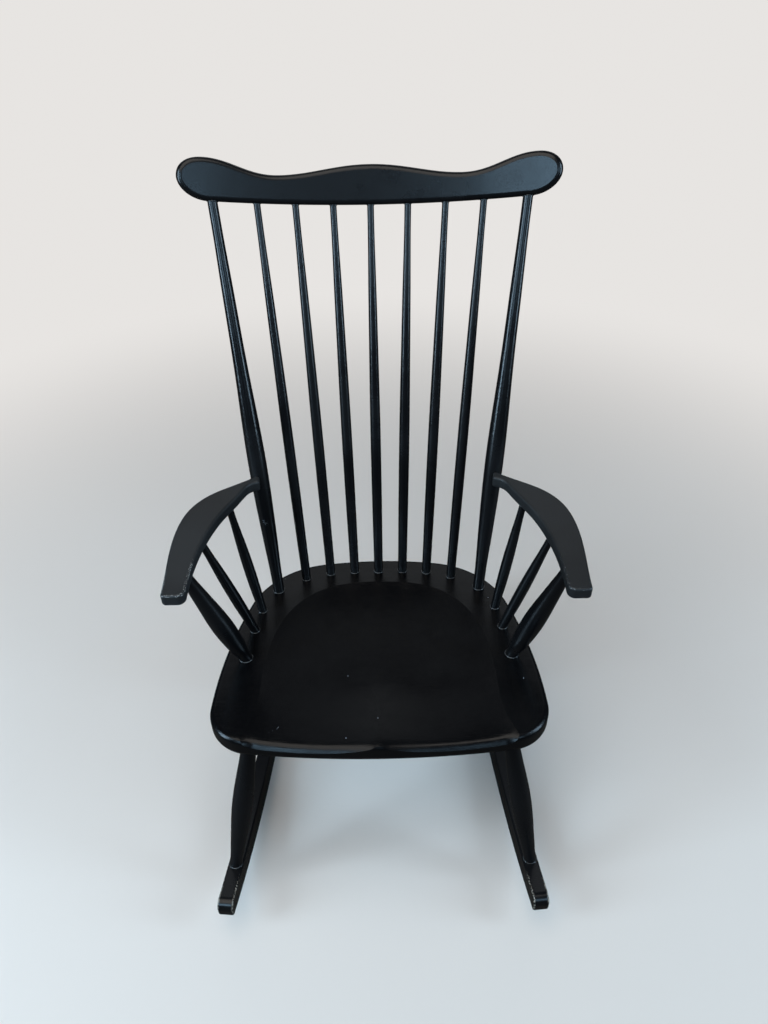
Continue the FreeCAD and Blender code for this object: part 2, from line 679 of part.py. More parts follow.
def make_rocker(side):
    """Curved rocker with rounded ends and two leg sockets."""
    board = rocker_blank(ROCKER_THICK)
    for radius, pick in ((ROCKER_NOSE_R, (False, True)), (ROCKER_TOE_R, (False, False)),
                         (ROCKER_TAIL_R, (True, True)), (ROCKER_TOE_R, (True, False))):
        at_rear, at_top = pick
        ends = [e for e in cross_edges(board, ROCKER_THICK) if (e.BoundBox.XMin > 0) == at_rear]
        ends.sort(key=lambda e: e.BoundBox.ZMin)
        board = board.makeFillet(radius, [ends[-1] if at_top else ends[0]])
    rims = [e for e in board.Edges if e.BoundBox.YLength < 0.01]
    board = board.makeFillet(ROCKER_EDGE_R, rims)
    board.Placement = rocker_placement(side)
    tools = []
    for head_point, foot_y in LEG_ENDS:
        foot = leg_foot(foot_y, side)
        head = leg_head(head_point, side)
        tools.append(bore(foot, foot * 2 - head, LEG_FOOT_TENON_DIA, LEG_FOOT_TENON))
    return board.cut(tools)


LEG_ENDS = ((FRONT_LEG_HEAD, FRONT_LEG_FOOT_Y), (REAR_LEG_HEAD, REAR_LEG_FOOT_Y))
LEG_SIZES = ((0.0, LEG_FOOT_DIA), (0.10, 24.0), (0.22, 28.8), (0.38, 34.8), (0.50, LEG_SWELL_DIA),
             (0.62, 33.4), (0.76, 28.2), (0.90, 24.6), (1.0, LEG_HEAD_DIA))


def leg_head(point, side):
    """Where the middle line of a leg enters the underside of the seat."""
    return on_seat(mirrored(point, side), SEAT_THICK)


def leg_foot(foot_y, side):
    """Where the middle line of a leg meets the top of its rocker."""
    along = rocker_along(foot_y)
    return rocker_point(along, rocker_top(along), side)


def make_leg(head_point, foot_y, side):
    """Leg with a shouldered foot tenon, its shoulder fitted to the rocker's top."""
    foot = leg_foot(foot_y, side)
    head = leg_head(head_point, side)
    body = turned(foot, head, LEG_SIZES, LEG_FOOT_OVERRUN, LEG_SEAT_TENON)
    rocker = rocker_blank(ROCKER_THICK * 3)
    rocker.Placement = rocker_placement(side)
    raised = FreeCAD.Placement(vec(0, 0, GLUE_GAP), FreeCAD.Rotation())
    rocker.Placement = raised.multiply(rocker.Placement)
    body = body.cut(rocker)
    tenon = Part.makeCylinder(LEG_FOOT_TENON_DIA / 2, LEG_FOOT_TENON * 2, vec(0, 0, -LEG_FOOT_TENON))
    end = [e for e in tenon.Edges if e.BoundBox.ZMax < 0]
    tenon = aimed(tenon.makeChamfer(TENON_CHAMFER, end), foot, head)
    return body.fuse(tenon).removeSplitter()


def single_solid(shape, name):
    """The one solid of a node; anything else is an error."""
    if len(shape.Solids) != 1:
        raise ValueError("%s has %d solids" % (name, len(shape.Solids)))
    solid = shape.Solids[0]
    if not solid.isValid():
        raise ValueError("%s is not valid" % name)
    return solid


def chair_parts():
    """Name and shape of every node."""
    yield "seat", make_seat()
    yield "crest_rail", make_crest()
    for index in range(SPINDLE_COUNT):
        yield "back_spindle_%d" % (index + 1), make_spindle(index)
    for name, side in SIDES:
        post = make_post(side).cut(dowel_bore(side))
        yield "back_post_" + name, post
        yield "arm_" + name, make_arm(side)
        yield "arm_dowel_" + name, make_dowel(side)
        yield "arm_post_" + name, make_arm_post(side)
        yield "arm_spindle_front_" + name, make_arm_stick(side, 1)
        yield "arm_spindle_rear_" + name, make_arm_stick(side, 2)
        yield "rocker_" + name, make_rocker(side)
        yield "front_leg_" + name, make_leg(FRONT_LEG_HEAD, FRONT_LEG_FOOT_Y, side)
        yield "rear_leg_" + name, make_leg(REAR_LEG_HEAD, REAR_LEG_FOOT_Y, side)


def build():
    """Write every node to its own file."""
    os.makedirs("parts", exist_ok=True)
    for name, shape in chair_parts():
        single_solid(shape, name).exportStep("parts/%s.step" % name)


build()
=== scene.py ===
"""Looks of a black lacquered rocking chair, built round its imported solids.

Metres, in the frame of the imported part: +Z up, the chair faces -Y, +X to the right of a viewer who
looks along +Y. "left" is -X. Each class holds the sizes of one sub-assembly and has the methods
that build or dress its pieces.
"""

import logging
import math
from dataclasses import dataclass, replace
from enum import Enum
from typing import Optional, Union

import bpy
from mathutils import Euler, Matrix, Vector
from mathutils.bvhtree import BVHTree


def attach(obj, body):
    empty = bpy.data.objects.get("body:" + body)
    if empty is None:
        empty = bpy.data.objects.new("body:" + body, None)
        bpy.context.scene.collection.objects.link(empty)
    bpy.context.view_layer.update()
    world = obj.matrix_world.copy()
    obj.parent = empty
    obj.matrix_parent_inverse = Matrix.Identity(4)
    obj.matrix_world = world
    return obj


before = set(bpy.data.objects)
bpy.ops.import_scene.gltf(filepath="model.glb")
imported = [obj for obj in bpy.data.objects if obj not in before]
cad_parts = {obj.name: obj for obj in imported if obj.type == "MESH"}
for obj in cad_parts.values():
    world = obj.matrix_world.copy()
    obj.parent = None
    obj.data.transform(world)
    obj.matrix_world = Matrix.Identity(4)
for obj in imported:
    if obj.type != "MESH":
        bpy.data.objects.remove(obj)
log = logging.getLogger("rocking_chair")

Socket = bpy.types.NodeSocket
Band = tuple[float, float]
Triple = tuple[float, float, float]
Number = Union[Socket, float]
Arrow = Union[Socket, Triple]

MM = 0.001
ORIGIN: Triple = (0.0, 0.0, 0.0)
SPINDLE_COUNT = 7
AXIS_ROUNDS = 4
END_SLICE = 1.5 * MM


class Side(Enum):
    """The two sides of the chair, with the sign of X on each."""

    LEFT = -1
    RIGHT = 1

    @property
    def word(self) -> str:
        """Ending of the names of this side's nodes."""
        return self.name.lower()

    def mirror(self, place: Triple) -> Triple:
        """Place of the right side, taken to this side.

        Args:
            place: Place or direction on the right side.

        Returns:
            The same on this side.
        """
        return (place[0] * self.value, *place[1:])


class End(Enum):
    """The two ends of a round member."""

    FOOT = "foot"
    HEAD = "head"


class Sketch:
    """Adds nodes to one node tree, of a material or of a grown shape, and joins them."""

    def __init__(self, tree: bpy.types.NodeTree) -> None:
        """Keep the tree that the nodes go into.

        Args:
            tree: Node tree of a material, of the world or of a grown shape.
        """
        self.tree = tree

    def feed(self, node: bpy.types.Node, inputs: dict) -> None:
        """Set or link the inputs of a node.

        Args:
            node: The node.
            inputs: Value or source socket of each input, by name or index.
        """
        for name, value in inputs.items():
            if isinstance(value, Socket):
                self.tree.links.new(value, node.inputs[name])
            else:
                node.inputs[name].default_value = value

    def add(self, kind: str, inputs: dict, **settings) -> bpy.types.Node:
        """Add a node.

        Args:
            kind: Type name of the node.
            inputs: Value or source socket of each input, by name or index.
            **settings: Properties of the node itself.

        Returns:
            The new node.
        """
        node = self.tree.nodes.new(kind)
        for name, value in settings.items():
            setattr(node, name, value)
        self.feed(node, inputs)
        return node

    def sum(self, operation: str, first: Number, second: Number = 0.0) -> Socket:
        """Work out two values, such as their product.

        Args:
            operation: Name of the operation, as the Math node has it.
            first: Value or socket.
            second: Value or socket.

        Returns:
            Socket of the result.
        """
        return self.add("ShaderNodeMath", {0: first, 1: second}, operation=operation).outputs[0]

    def vector_sum(self, operation: str, first: Arrow, second: Arrow = ORIGIN) -> Socket:
        """Work out one number from two vectors, such as their dot product.

        Args:
            operation: Name of the operation, as the Vector Math node has it.
            first: Vector or socket.
            second: Vector or socket.

        Returns:
            Socket of the number.
        """
        node = self.add("ShaderNodeVectorMath", {0: first, 1: second}, operation=operation)
        return node.outputs["Value"]

    def slope(self, value: Socket, low: float, high: float, start: float = 0.0, end: float = 1.0) -> Socket:
        """Smooth step of a value between two limits.

        Args:
            value: Socket that is looked at.
            low: Value that gives start.
            high: Value that gives end.
            start: Result at low and before.
            end: Result at high and beyond.

        Returns:
            Socket of the result.
        """
        inputs = {0: value, 1: low, 2: high, 3: start, 4: end}
        return self.add("ShaderNodeMapRange", inputs, interpolation_type="SMOOTHSTEP").outputs[0]

    def noise(self, place: Socket, scale: float, detail: float = 2.0, rough: float = 0.5) -> Socket:
        """Cloudy noise from 0 to 1.

        Args:
            place: Socket of the coordinates.
            scale: Features per unit of the coordinates.
            detail: Number of finer layers.
            rough: Share of the finer layers.

        Returns:
            Socket of the noise.
        """
        inputs = {"Vector": place, "Scale": scale, "Detail": detail, "Roughness": rough}
        return self.add("ShaderNodeTexNoise", inputs).outputs[0]

    def blend(self, share: Number, first: Arrow, second: Arrow) -> Socket:
        """Mix two colours.

        Args:
            share: Share of the second colour.
            first: Colour or socket.
            second: Colour or socket.

        Returns:
            Socket of the mixed colour.
        """
        inputs = {0: share}
        for index, colour in ((6, first), (7, second)):
            inputs[index] = colour if isinstance(colour, Socket) else (*colour, 1.0)
        return self.add("ShaderNodeMix", inputs, data_type="RGBA").outputs[2]

    def most(self, masks: list[Socket]) -> Socket:
        """Largest of some masks.

        Args:
            masks: Sockets of the masks.

        Returns:
            Socket of the largest.
        """
        found = masks[0]
        for mask in masks[1:]:
            found = self.sum("MAXIMUM", found, mask)
        return found

    def dent(self, height: Socket, depth: float, strength: float, normal: Optional[Socket] = None) -> Socket:
        """Raise or sink the surface by a height map.

        Args:
            height: Socket of the height, from 0 to 1.
            depth: Height that 1 stands for.
            strength: Share of the relief that shows.
            normal: Socket of the normal of the layer below, if there is one.

        Returns:
            Socket of the new normal.
        """
        inputs = {"Strength": strength, "Distance": depth, "Height": height}
        if normal is not None:
            inputs["Normal"] = normal
        return self.add("ShaderNodeBump", inputs).outputs[0]


def new_material(name: str) -> tuple[bpy.types.Material, Sketch, bpy.types.Node]:
    """Add a material with a plain shader.

    Args:
        name: Name of the material.

    Returns:
        The material, the sketch of its node tree and its shader.
    """
    material = bpy.data.materials.new(name)
    material.use_nodes = True
    return material, Sketch(material.node_tree), material.node_tree.nodes["Principled BSDF"]


def turn_along(along: Triple) -> Euler:
    """Turn that lays the X axis along a direction.

    Args:
        along: The direction.

    Returns:
        The turn.
    """
    return Vector(along).to_track_quat("X", "Z").to_euler()


@dataclass(frozen=True)
class Fibre:
    """Run of the wood's fibres under the lacquer of one piece."""

    along: Triple
    pore_length: float = 26 * MM
    pore_width: float = 0.9 * MM

    def place(self, sketch: Sketch, point: Socket) -> Socket:
        """Coordinates that run with the fibres and count in pores.

        Args:
            sketch: Node tree of the material.
            point: Socket of the point on the piece.

        Returns:
            Socket of the stretched coordinates.
        """
        scale = (self.pore_length, self.pore_width, self.pore_width)
        inputs = {"Vector": point, "Rotation": turn_along(self.along), "Scale": scale}
        return sketch.add("ShaderNodeMapping", inputs, vector_type="TEXTURE").outputs[0]


@dataclass(frozen=True)
class EdgeWear:
    """Chipped lacquer along the rounded edges of a board, near one place.

    side_band and face_band are cosines to the board's normal: where the upright side passes into the
    rounding, and where the rounding passes into the flat face. A chip starts where the noise is above
    sparse, which falls by thicken times the amount, and by crowding towards the centre.
    """

    board_normal: Triple
    centre: Triple
    reach: float
    amount: float = 0.5
    grain_size: float = 2.2 * MM
    side_band: Band = (0.10, 0.35)
    face_band: Band = (0.98, 0.86)
    core: float = 0.3
    sparse: float = 0.78
    thicken: float = 0.2
    crowding: float = 0.12
    crispness: float = 0.03

    def mask(self, sketch: Sketch, point: Socket, normal: Socket) -> Socket:
        """Where the wood is bare.

        Args:
            sketch: Node tree of the material.
            point: Socket of the point on the piece.
            normal: Socket of the surface normal.

        Returns:
            Socket of the mask, 0 to 1.
        """
        facing = sketch.sum("ABSOLUTE", sketch.vector_sum("DOT_PRODUCT", normal, self.board_normal))
        side, face = sketch.slope(facing, *self.side_band), sketch.slope(facing, *self.face_band)
        near = sketch.slope(sketch.vector_sum("DISTANCE", point, self.centre), self.reach,
                            self.reach * self.core)
        chip = sketch.noise(point, 1 / self.grain_size, detail=3.0, rough=0.7)
        chip = sketch.sum("ADD", chip, sketch.sum("MULTIPLY", near, self.crowding))
        level = self.sparse - self.thicken * self.amount
        chip = sketch.slope(chip, level, level + self.crispness)
        edge = sketch.sum("MULTIPLY", side, face)
        return sketch.sum("MULTIPLY", sketch.sum("MULTIPLY", edge, near), chip)


@dataclass(frozen=True)
class Scuff:
    """Short scratched patch at one place, its lines running one way.

    inside_band is the distance from the centre, in lengths of the patch, over which it fades. A line
    starts where the noise is in line_band, which falls by thicken times the amount.
    """

    centre: Triple
    along: Triple
    length: float
    width: float
    amount: float = 0.5
    inside_band: Band = (0.62, 0.3)
    line_scale: Triple = (1.5, 8.0, 8.0)
    line_band: Band = (0.66, 0.72)
    thicken: Band = (0.22, 0.20)

    def mask(self, sketch: Sketch, point: Socket, _normal: Socket) -> Socket:
        """Where the lacquer is scratched light.

        Args:
            sketch: Node tree of the material.
            point: Socket of the point on the piece.
            _normal: Socket of the surface normal, not needed here.

        Returns:
            Socket of the mask, 0 to 1.
        """
        inputs = {"Vector": point, "Location": self.centre, "Rotation": turn_along(self.along),
                  "Scale": (self.length, self.width, self.width)}
        local = sketch.add("ShaderNodeMapping", inputs, vector_type="TEXTURE").outputs[0]
        inside = sketch.slope(sketch.vector_sum("LENGTH", local), *self.inside_band)
        lines = sketch.add("ShaderNodeMapping", {"Vector": local, "Scale": self.line_scale}).outputs[0]
        limits = [level - share * self.amount for level, share in zip(self.line_band, self.thicken)]
        return sketch.sum("MULTIPLY", inside, sketch.slope(sketch.noise(lines, 1.0), *limits))


@dataclass(frozen=True)
class Flecks:
    """A few single specks of lost lacquer, rim being the fade of their outline in radii."""

    places: tuple[Triple, ...]
    radius: float = 1.3 * MM
    raggedness: float = 1.4
    grain_per_metre: float = 1100.0
    rim: Band = (1.5, 1.2)

    def mask(self, sketch: Sketch, point: Socket, _normal: Socket) -> Socket:
        """Where the specks are.

        Args:
            sketch: Node tree of the material.
            point: Socket of the point on the piece.
            _normal: Socket of the surface normal, not needed here.

        Returns:
            Socket of the mask, 0 to 1.
        """
        grain = sketch.noise(point, self.grain_per_metre)
        ragged = sketch.sum("MULTIPLY", grain, self.radius * self.raggedness)
        far, close = (self.radius * share for share in self.rim)
        spots = []
        for place in self.places:
            away = sketch.sum("ADD", sketch.vector_sum("DISTANCE", point, place), ragged)
            spots.append(sketch.slope(away, far, close))
        return sketch.most(spots)


Wear = Union[EdgeWear, Scuff, Flecks]


@dataclass(frozen=True)
class Lacquer:
    """Black lacquer on wood: grain that shows through, haze, specks and bare wood where it is worn."""

    name: str
    tint: Triple = (0.0030, 0.0031, 0.0037)
    haze: Triple = (0.0052, 0.0052, 0.0058)
    haze_size: float = 0.20
    haze_band: Band = (0.36, 0.66)
    gloss_rough: float = 0.20
    dull_rough: float = 0.30
    rough_band: Band = (0.2, 1.2)
    specular: float = 0.33
    coat: float = 0.12
    coat_rough: float = 0.10
    pore_band: Band = (0.42, 0.72)
    pore_show: float = 0.35
    pore_depth: float = 0.05 * MM
    pore_relief: float = 0.55
    dust_per_metre: float = 900.0
    dust_show: float = 0.5
    dust_depth: float = 0.02 * MM
    dust_relief: float = 0.35
    speck: Triple = (0.16, 0.16, 0.15)
    speck_share: float = 0.03
    speck_size: float = 22 * MM
    speck_band: Band = (0.035, 0.02)
    bare: Triple = (0.26, 0.29, 0.33)
    bare_rough: float = 0.3
    bare_depth: float = 0.3 * MM
    bare_relief: float = 0.6

    def make(self, fibre: Fibre, wear: tuple[Wear, ...] = ()) -> bpy.types.Material:
        """Build the material of one piece.

        Args:
            fibre: Run of the wood's fibres in the piece.
            wear: Worn places of the piece.

        Returns:
            The material.
        """
        material, sketch, shader = new_material(self.name)
        material.diffuse_color = (*self.tint, 1.0)
        where = sketch.add("ShaderNodeTexCoord", {})
        point = where.outputs["Object"]
        grain = sketch.noise(fibre.place(sketch, point), 1.0, detail=3.0, rough=0.6)
        pores = sketch.slope(grain, *self.pore_band)
        cloud = sketch.noise(point, 1 / self.haze_size, detail=4.0, rough=0.6)
        cloud = sketch.slope(cloud, *self.haze_band)
        dust = sketch.noise(point, self.dust_per_metre)
        colour = sketch.blend(cloud, self.tint, self.haze)
        colour = sketch.blend(sketch.sum("MULTIPLY", pores, self.pore_show), colour, self.haze)
        colour = sketch.blend(self.specks(sketch, point), colour, self.speck)
        rough = sketch.sum("ADD", cloud, sketch.sum("MULTIPLY", dust, self.dust_show))
        rough = sketch.slope(rough, *self.rough_band, self.gloss_rough, self.dull_rough)
        relief = sketch.dent(sketch.sum("SUBTRACT", 1.0, pores), self.pore_depth, self.pore_relief)
        relief = sketch.dent(dust, self.dust_depth, self.dust_relief, relief)
        if wear:
            worn = sketch.most([place.mask(sketch, point, where.outputs["Normal"]) for place in wear])
            colour = sketch.blend(worn, colour, self.bare)
            rough = sketch.sum("ADD", rough, sketch.sum("MULTIPLY", worn, self.bare_rough))
            relief = sketch.dent(sketch.sum("SUBTRACT", 1.0, worn), self.bare_depth, self.bare_relief,
                                 relief)
        sketch.feed(shader, {"Base Color": colour, "Roughness": rough, "Normal": relief,
                             "Specular IOR Level": self.specular, "Coat Weight": self.coat,
                             "Coat Roughness": self.coat_rough})
        return material

    def specks(self, sketch: Sketch, point: Socket) -> Socket:
        """Few tiny pale specks, one at most in each cell.

        Args:
            sketch: Node tree of the material.
            point: Socket of the point on the piece.

        Returns:
            Socket of the mask, 0 to 1.
        """
        cell = sketch.add("ShaderNodeTexVoronoi", {"Vector": point, "Scale": 1 / self.speck_size})
        chosen = sketch.add("ShaderNodeSeparateColor", {"Color": cell.outputs["Color"]}).outputs[0]
        chosen = sketch.sum("LESS_THAN", chosen, self.speck_share)
        return sketch.sum("MULTIPLY", chosen, sketch.slope(cell.outputs["Distance"], *self.speck_band))


@dataclass(frozen=True)
class BareWood:
    """Unfinished wood of the hidden dowels."""

    name: str = "bare_wood"
    pale: Triple = (0.52, 0.36, 0.20)
    dark: Triple = (0.36, 0.23, 0.12)
    streak_band: Band = (0.3, 0.7)
    streak_depth: float = 0.1 * MM
    streak_relief: float = 0.4
    rough: float = 0.62

    def make(self, fibre: Fibre) -> bpy.types.Material:
        """Build the material.

        Args:
            fibre: Run of the wood's fibres.

        Returns:
            The material.
        """
        material, sketch, shader = new_material(self.name)
        point = sketch.add("ShaderNodeTexCoord", {}).outputs["Object"]
        streaks = sketch.noise(fibre.place(sketch, point), 1.0, detail=4.0, rough=0.6)
        colour = sketch.blend(sketch.slope(streaks, *self.streak_band), self.pale, self.dark)
        relief = sketch.dent(streaks, self.streak_depth, self.streak_relief)
        sketch.feed(shader, {"Base Color": colour, "Normal": relief, "Roughness": self.rough})
        return material


SATIN = Lacquer("black_lacquer")
CHIPPED = replace(SATIN, name="black_lacquer_chipped", bare=(0.50, 0.43, 0.35))
SEAT_SATIN = Lacquer("black_lacquer_seat", tint=(0.0018, 0.0018, 0.0022), haze=(0.0032, 0.0032, 0.0036),
                     speck_share=0.08, speck_size=30 * MM, pore_depth=0.11 * MM, gloss_rough=0.16,
                     dull_rough=0.26, specular=0.25, coat=0.05, coat_rough=0.12)
HANDLED = Lacquer("black_lacquer_handled", tint=(0.013, 0.013, 0.0132), haze=(0.024, 0.024, 0.0243),
                  bare=(0.62, 0.61, 0.58), gloss_rough=0.40, dull_rough=0.54, specular=0.38, coat=0.0)
# Finish of the lacquer beads. Its lighter tint and pale haze make the beads pale grey in patches: partly
# dust caught in the joints, partly a painted glint that stands in for the light rings at the joints.
POOLED_DUST_AND_GLINT = Lacquer("black_lacquer_pooled", tint=(0.010, 0.010, 0.011), haze=(0.08, 0.08, 0.078),
                 gloss_rough=0.10, dull_rough=0.22, coat=0.6, coat_rough=0.06, haze_size=0.012)


def dress(node: str, material: bpy.types.Material) -> None:
    """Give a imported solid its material.

    Args:
        node: Name of the solid.
        material: Its finish.
    """
    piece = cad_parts[node]
    piece.data.materials.clear()
    piece.data.materials.append(material)
    log.info("dressed %s with %s", node, material.name)


def dress_stick(node: str, wear: tuple[Wear, ...] = ()) -> None:
    """Give a round member its satin lacquer, with the grain running along it.

    Args:
        node: Name of the solid.
        wear: Worn places of the member.
    """
    dress(node, SATIN.make(Fibre(tuple(Axis.of(node).along)), wear))


def tree_of(node: str) -> BVHTree:
    """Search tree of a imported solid's faces.

    Args:
        node: Name of the solid.

    Returns:
        The tree.
    """
    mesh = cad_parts[node].data
    corners = [corner.co.copy() for corner in mesh.vertices]
    return BVHTree.FromPolygons(corners, [tuple(face.vertices) for face in mesh.polygons])


def middle_of(corners: list[Vector]) -> Vector:
    """Middle of the box round some points.

    Args:
        corners: The points.

    Returns:
        The middle.
    """
    low = Vector([min(corner[i] for corner in corners) for i in range(3)])
    high = Vector([max(corner[i] for corner in corners) for i in range(3)])
    return (low + high) / 2


@dataclass(frozen=True)
class Axis:
    """Middle line of a turned member, from the lower end to the upper."""

    foot: Vector
    head: Vector

    @classmethod
    def of(cls, node: str) -> "Axis":
        """Middle line of a packed turned member, from the middles of its two ends.

        Args:
            node: Name of the solid.

        Returns:
            The line between the centres of its two tenon ends.
        """
        corners = [corner.co.copy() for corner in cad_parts[node].data.vertices]
        foot = min(corners, key=lambda corner: corner.z)
        head = max(corners, key=lambda corner: corner.z)
        for _ in range(AXIS_ROUNDS):
            along = (head - foot).normalized()
            heights = [corner.dot(along) for corner in corners]
            low, high = min(heights) + END_SLICE, max(heights) - END_SLICE
            foot = middle_of([corner for corner, height in zip(corners, heights) if height < low])
            head = middle_of([corner for corner, height in zip(corners, heights) if height > high])
        return cls(foot, head)

    @property
    def along(self) -> Vector:
        """Direction from foot to head."""
        return (self.head - self.foot).normalized()


class Growth:
    """Geometry node group that grows a piece from guide lines."""

    def __init__(self, name: str, sizes: tuple[str, ...]) -> None:
        """Make the group with its named inputs.

        Args:
            name: Name of the group.
            sizes: Names of its number inputs.
        """
        self.tree = bpy.data.node_groups.new(name, "GeometryNodeTree")
        self.sketch = Sketch(self.tree)
        face = self.tree.interface
        face.new_socket(name="Guide", in_out="INPUT", socket_type="NodeSocketGeometry")
        self.sockets = {}
        for size in sizes:
            socket = face.new_socket(name=size, in_out="INPUT", socket_type="NodeSocketFloat")
            self.sockets[size] = socket.identifier
        socket = face.new_socket(name="Finish", in_out="INPUT", socket_type="NodeSocketMaterial")
        self.sockets["Finish"] = socket.identifier
        face.new_socket(name="Piece", in_out="OUTPUT", socket_type="NodeSocketGeometry")
        self.given = self.sketch.add("NodeGroupInput", {}).outputs

    def uneven(self, radius: Socket, unevenness: Socket, grain: float) -> Socket:
        """Radius that varies a little from place to place, as on hand work.

        Args:
            radius: Socket of the even radius.
            unevenness: Socket of the share that it varies by.
            grain: Length of one variation.

        Returns:
            Socket of the uneven radius.
        """
        place = self.sketch.add("GeometryNodeInputPosition", {}).outputs[0]
        wave = self.sketch.sum("SUBTRACT", self.sketch.noise(place, 1 / grain), 0.5)
        wave = self.sketch.sum("ADD", self.sketch.sum("MULTIPLY", wave, unevenness), 1.0)
        return self.sketch.sum("MULTIPLY", radius, wave)

    def sweep(self, line: Socket, radius: Socket, sides: int) -> None:
        """Sweep a circle along the closed guide and end the group.

        Args:
            line: Socket of the guide curve.
            radius: Socket of its radius along the way.
            sides: Corners of the circle.
        """
        circle = self.sketch.add("GeometryNodeCurvePrimitiveCircle", {"Resolution": sides, "Radius": 1.0})
        inputs = {"Curve": line, "Profile Curve": circle.outputs[0], "Scale": radius, "Fill Caps": False}
        skin = self.sketch.add("GeometryNodeCurveToMesh", inputs).outputs[0]
        skin = self.sketch.add("GeometryNodeSetShadeSmooth", {"Geometry": skin}).outputs[0]
        skin = self.sketch.add("GeometryNodeRealizeInstances", {"Geometry": skin}).outputs[0]
        inputs = {"Geometry": skin, "Material": self.given["Finish"]}
        skin = self.sketch.add("GeometryNodeSetMaterial", inputs).outputs[0]
        self.sketch.add("NodeGroupOutput", {0: skin})

    def grow(self, name: str, rings: list[list[Vector]], values: dict) -> bpy.types.Object:
        """Grow the piece and turn it into a plain mesh.

        Args:
            name: Name of the piece.
            rings: Points of each closed guide line.
            values: Value of each named input.

        Returns:
            The piece.
        """
        points, edges = [], []
        for ring in rings:
            first = len(points)
            points += [tuple(point) for point in ring]
            edges += [(first + i, first + (i + 1) % len(ring)) for i in range(len(ring))]
        mesh = bpy.data.meshes.new(name + "_guide")
        mesh.from_pydata(points, edges, [])
        guide = bpy.data.objects.new(name + "_guide", mesh)
        bpy.context.scene.collection.objects.link(guide)
        modifier = guide.modifiers.new("growth", "NODES")
        modifier.node_group = self.tree
        for size, value in values.items():
            modifier[self.sockets[size]] = value
        graph = bpy.context.evaluated_depsgraph_get()
        skin = bpy.data.meshes.new_from_object(guide.evaluated_get(graph))
        guide.modifiers.remove(modifier)
        bpy.data.objects.remove(guide)
        piece = bpy.data.objects.new(name, skin)
        bpy.context.scene.collection.objects.link(piece)
        return piece


@dataclass(frozen=True)
class Joint:
    """Place where a round member enters a board.

    The line between the two is found by rays, shot along the member from start above its shoulder.
    """

    stick: str
    board: str
    end: End
    diameter: float
    tenon: float
    corners: int = 40
    clearance: float = 0.35 * MM
    start: float = 55 * MM

    def ring(self) -> list[Vector]:
        """Closed line in which the member's skin meets the board.

        Returns:
            Points of the line, none where a ray misses the board.
        """
        axis = Axis.of(self.stick)
        tip, into = (axis.head, axis.along) if self.end is End.HEAD else (axis.foot, -axis.along)
        outside = tip - into * (self.tenon + self.start)
        spoke = into.orthogonal().normalized() * (self.diameter / 2 + self.clearance)
        tree = tree_of(self.board)
        found = []
        for index in range(self.corners):
            turn = Matrix.Rotation(2 * math.pi * index / self.corners, 3, into)
            hit = tree.ray_cast(outside + turn @ spoke, into)[0]
            if hit is None:
                return []
            found.append(hit)
        return found


@dataclass(frozen=True)
class Pattern:
    """Kind of round member: its thickness where it enters the boards, and its tenons' lengths."""

    foot_diameter: float
    foot_tenon: float
    head_diameter: float
    head_tenon: float

    def joints(self, stick: str, below: str, above: str) -> list[Joint]:
        """Both joints of one member.

        Args:
            stick: Name of the member.
            below: Name of the board at its foot.
            above: Name of the board at its head.

        Returns:
            The joints, foot first.
        """
        return [Joint(stick, below, End.FOOT, self.foot_diameter, self.foot_tenon),
                Joint(stick, above, End.HEAD, self.head_diameter, self.head_tenon)]


SPINDLE = Pattern(17.0 * MM, 24 * MM, 10.6 * MM, 28 * MM)
BACK_POST = Pattern(20.5 * MM, 26 * MM, 15.5 * MM, 34 * MM)
ARM_POST = Pattern(21.0 * MM, 24 * MM, 20.0 * MM, 14 * MM)
ARM_SPINDLE = Pattern(15.5 * MM, 22 * MM, 12.2 * MM, 13 * MM)
LEG = Pattern(22.0 * MM, 22 * MM, 24.0 * MM, 16 * MM)


@dataclass
class Beads:
    """Thin beads where the lacquer pooled round the foot and head of every stick."""

    name: str = "lacquer_beads"
    radius: float = 0.8 * MM
    unevenness: float = 0.9
    grain: float = 5 * MM
    sides: int = 8

    def joints(self) -> list[Joint]:
        """Every joint that has a bead.

        Returns:
            The joints, from the back to the base.
        """
        found = []
        for index in range(1, SPINDLE_COUNT + 1):
            found += SPINDLE.joints("back_spindle_%d" % index, "seat", "crest_rail")
        for side in Side:
            arm, rocker = "arm_" + side.word, "rocker_" + side.word
            found += BACK_POST.joints("back_post_" + side.word, "seat", "crest_rail")
            found += ARM_POST.joints("arm_post_" + side.word, "seat", arm)
            for place in ("front_", "rear_"):
                found += ARM_SPINDLE.joints("arm_spindle_" + place + side.word, "seat", arm)
                found += LEG.joints(place + "leg_" + side.word, rocker, "seat")
        return found

    def build(self) -> None:
        """Grow the beads in one piece."""
        growth = Growth("bead_growth", ("Radius", "Unevenness"))
        line = growth.sketch.add("GeometryNodeMeshToCurve", {"Mesh": growth.given["Guide"]}).outputs[0]
        radius = growth.uneven(growth.given["Radius"], growth.given["Unevenness"], self.grain)
        growth.sweep(line, radius, self.sides)
        joints = self.joints()
        rings = [ring for ring in (joint.ring() for joint in joints) if ring]
        log.info("%d of %d joints have a bead", len(rings), len(joints))
        # The beads' pale grey patches are partly dust and partly a painted glint.
        finish = POOLED_DUST_AND_GLINT.make(Fibre((0.0, 0.0, 1.0)))
        values = {"Radius": self.radius, "Unevenness": self.unevenness, "Finish": finish}
        piece = growth.grow(self.name, rings, values)
        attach(piece, "root")
        log.info("grew %s with %d faces", self.name, len(piece.data.polygons))


